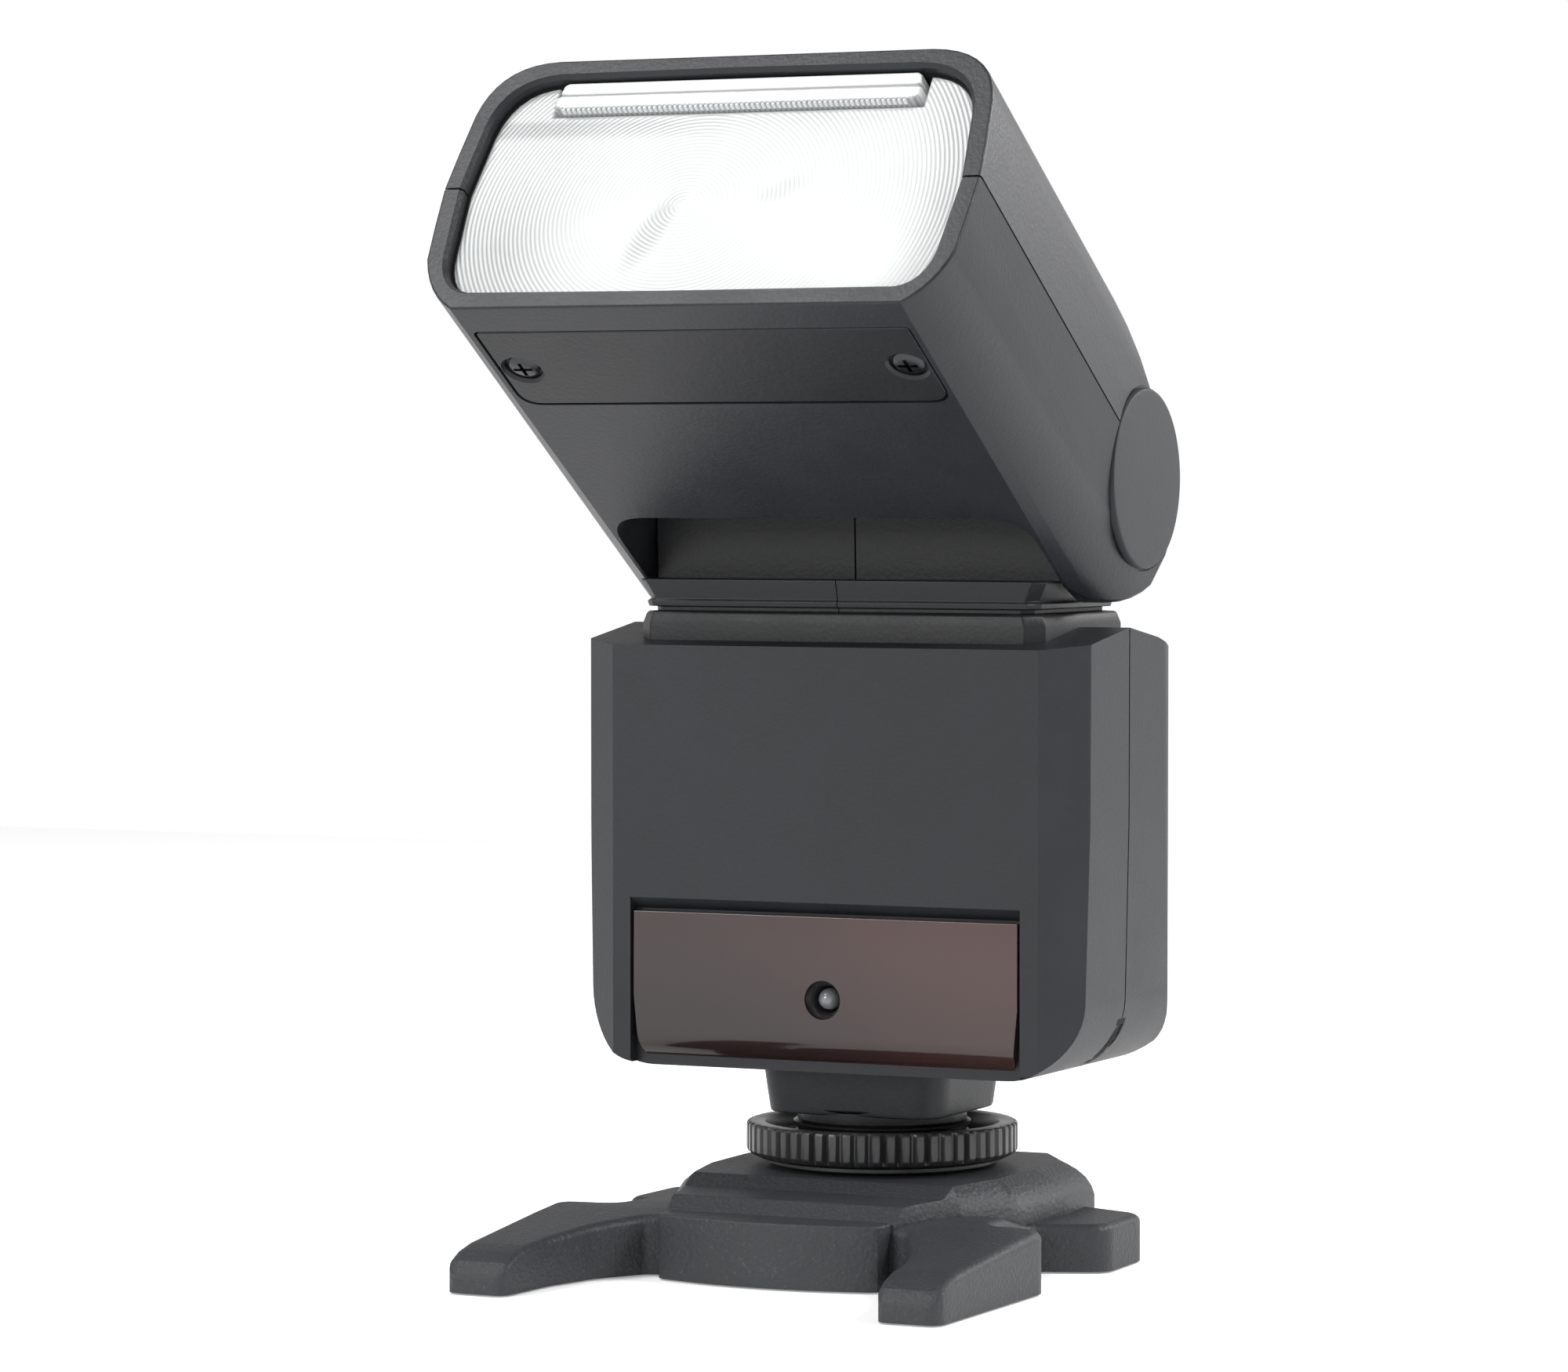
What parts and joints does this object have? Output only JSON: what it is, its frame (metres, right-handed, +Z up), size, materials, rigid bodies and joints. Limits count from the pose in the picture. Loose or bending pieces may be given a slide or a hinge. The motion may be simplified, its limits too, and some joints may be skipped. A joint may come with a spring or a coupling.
{
  "type": "speedlight flash",
  "caption": "Compact tilt-and-swivel speedlight flash with a Fresnel head, infrared window and lock-ring shoe foot, standing in its four-legged mini stand.",
  "frame": {"origin": "under the middle of the outer box, at the height of the stand's flat underside", "axes": "+Z up along the swivel axis, -Y the way the infrared window faces, +X the flash's own left as it faces -Y"},
  "size_m": [0.0644, 0.078, 0.1351],
  "materials": {
    "stand_plastic": "grained moulding",
    "thread_brass": "turned",
    "foot_plastic": "moulded",
    "contact_gold": "gold plated",
    "polished_steel": "polished",
    "washer_plastic": "moulded",
    "ring_plastic": "satin moulded",
    "collar_plastic": "moulded thread",
    "case_plastic": "fine spark texture",
    "neck_plastic": "fine spark texture",
    "head_plastic": "fine spark texture",
    "cover_plastic": "fine spark texture",
    "label_plastic": "moulded",
    "screw_steel": "blackened",
    "infrared_window": "polished, dark wine tint",
    "sensor_dome": "polished",
    "display_cover": "polished",
    "display_glass": "liquid crystal module",
    "button_rubber": "moulded",
    "test_red": "translucent",
    "dial_plastic": "moulded",
    "spring_nickel": "nickel plated",
    "cell_sleeve": "printed sleeve",
    "circuit_board": "solder mask",
    "transformer_core": "ferrite and tape",
    "fresnel_clear": "moulded clear",
    "panel_clear": "moulded clear",
    "card_white": "satin",
    "reflector_silver": "bright anodised",
    "tube_glass": "clear",
    "carriage_plastic": "moulded",
    "capacitor_sleeve": "heat shrink sleeve"
  },
  "bodies": {
    "mini_stand": {"mini_stand": "stand_plastic", "tripod_thread_insert": "thread_brass"},
    "flash_body": {"shoe_foot": "foot_plastic", "contact_pin_centre": "contact_gold", "contact_pin_front_left": "contact_gold", "contact_pin_front_right": "contact_gold", "contact_pin_rear_left": "contact_gold", "contact_pin_rear_right": "contact_gold", "threaded_collar": "collar_plastic", "foot_block": "case_plastic", "front_shell": "case_plastic", "rear_shell": "case_plastic", "sensor_window": "infrared_window", "sensor_lens": "sensor_dome", "display_window": "display_cover", "display_module": "display_glass", "aa_cell_1": "cell_sleeve", "aa_cell_2": "cell_sleeve", "battery_terminal_1": "spring_nickel", "battery_terminal_2": "spring_nickel", "main_board": "circuit_board", "charging_transformer": "transformer_core", "swivel_plinth": "case_plastic"},
    "clamp": {"clamp_washer": "washer_plastic", "locking_pin": "polished_steel"},
    "lock_ring": {"lock_ring": "ring_plastic"},
    "neck": {"neck_left_half": "neck_plastic", "neck_right_half": "neck_plastic", "swivel_tube": "neck_plastic", "tilt_shaft": "polished_steel"},
    "head": {"head_upper_shell": "head_plastic", "head_lower_shell": "head_plastic", "label_plate": "label_plastic", "head_screw_left": "screw_steel", "head_screw_right": "screw_steel", "hinge_cover_left": "cover_plastic", "hinge_cover_right": "cover_plastic", "fresnel_lens": "fresnel_clear", "guide_rod_left": "polished_steel", "guide_rod_right": "polished_steel", "zoom_motor": "polished_steel", "main_capacitor": "capacitor_sleeve", "head_board": "circuit_board"},
    "wide_panel": {"wide_panel": "panel_clear"},
    "catchlight_card": {"catchlight_card": "card_white"},
    "zoom_carriage": {"zoom_carriage": "carriage_plastic", "reflector": "reflector_silver", "flash_tube": "tube_glass"},
    "lead_screw": {"lead_screw": "polished_steel"},
    "control_button_1": {"control_button_1": "button_rubber"},
    "control_button_2": {"control_button_2": "button_rubber"},
    "control_button_3": {"control_button_3": "button_rubber"},
    "control_button_4": {"control_button_4": "button_rubber"},
    "set_button": {"set_button": "button_rubber"},
    "test_button": {"test_button": "test_red"},
    "select_dial": {"select_dial": "dial_plastic"},
    "power_switch": {"power_switch": "button_rubber"},
    "door_slider": {"door_hinge_pin": "polished_steel"},
    "battery_door": {"battery_door": "case_plastic", "door_contact": "spring_nickel"}
  },
  "joints": [
    {"name": "shoe_slide", "type": "slide", "parent": "mini_stand", "child": "flash_body", "axis": [0, 1, 0], "range_m": [0, 0.034]},
    {"name": "clamp_travel", "type": "slide", "parent": "flash_body", "child": "clamp", "axis": [0, 0, 1], "range_m": [0, 0.0019]},
    {"name": "lock_ring_turn", "type": "hinge", "parent": "clamp", "child": "lock_ring", "pos_m": [0, 0.01554, 0.013], "axis": [0, 0, 1], "range_deg": [0, 548]},
    {"name": "head_swivel", "type": "hinge", "parent": "flash_body", "child": "neck", "pos_m": [0, 0.01554, 0.0736], "axis": [0, 0, 1], "range_deg": [-180, 90]},
    {"name": "head_tilt", "type": "hinge", "parent": "neck", "child": "head", "pos_m": [0, 0.01704, 0.0889], "axis": [-1, 0, 0], "range_deg": [-33, 57]},
    {"name": "wide_panel_slide", "type": "slide", "parent": "head", "child": "wide_panel", "axis": [0, -0.8387, 0.5446], "range_m": [0, 0.03]},
    {"name": "catchlight_card_slide", "type": "slide", "parent": "head", "child": "catchlight_card", "axis": [0, -0.8387, 0.5446], "range_m": [0, 0.029]},
    {"name": "lead_screw_turn", "type": "hinge", "parent": "head", "child": "lead_screw", "pos_m": [-0.0256, -0.01617, 0.1057], "axis": [0, -0.8387, 0.5446], "range_deg": [0, 1262]},
    {"name": "zoom_slide", "type": "slide", "parent": "head", "child": "zoom_carriage", "axis": [0, 0.8387, -0.5446], "range_m": [0, 0.0105]},
    {"name": "control_button_1_press", "type": "slide", "parent": "flash_body", "child": "control_button_1", "axis": [0, -1, 0], "range_m": [0, 0.0005], "stiffness_N_per_m": 2500, "springref_m": -0.0002},
    {"name": "control_button_2_press", "type": "slide", "parent": "flash_body", "child": "control_button_2", "axis": [0, -1, 0], "range_m": [0, 0.0005], "stiffness_N_per_m": 2500, "springref_m": -0.0002},
    {"name": "control_button_3_press", "type": "slide", "parent": "flash_body", "child": "control_button_3", "axis": [0, -1, 0], "range_m": [0, 0.0005], "stiffness_N_per_m": 2500, "springref_m": -0.0002},
    {"name": "control_button_4_press", "type": "slide", "parent": "flash_body", "child": "control_button_4", "axis": [0, -1, 0], "range_m": [0, 0.0005], "stiffness_N_per_m": 2500, "springref_m": -0.0002},
    {"name": "set_button_press", "type": "slide", "parent": "flash_body", "child": "set_button", "axis": [0, -1, 0], "range_m": [0, 0.0005], "stiffness_N_per_m": 2500, "springref_m": -0.0002},
    {"name": "test_button_press", "type": "slide", "parent": "flash_body", "child": "test_button", "axis": [0, -1, 0], "range_m": [0, 0.0005], "stiffness_N_per_m": 2500, "springref_m": -0.0002},
    {"name": "select_dial_turn", "type": "hinge", "parent": "flash_body", "child": "select_dial", "pos_m": [0.011, 0.03114, 0.0308], "axis": [0, 1, 0], "continuous": true},
    {"name": "power_switch_slide", "type": "slide", "parent": "flash_body", "child": "power_switch", "axis": [1, 0, 0], "range_m": [0, 0.004]},
    {"name": "battery_door_slide", "type": "slide", "parent": "flash_body", "child": "door_slider", "axis": [0, 0, -1], "range_m": [0, 0.003]},
    {"name": "battery_door_swing", "type": "hinge", "parent": "door_slider", "child": "battery_door", "pos_m": [-0.0304, 0.02254, 0.046], "axis": [0, 0, -1], "range_deg": [0, 100]}
  ],
  "couplings": [
    {"joint": "lock_ring_turn", "follows": "clamp_travel", "rad_per_m": 5026.5},
    {"joint": "lead_screw_turn", "follows": "zoom_slide", "rad_per_m": 2094.4}
  ]
}
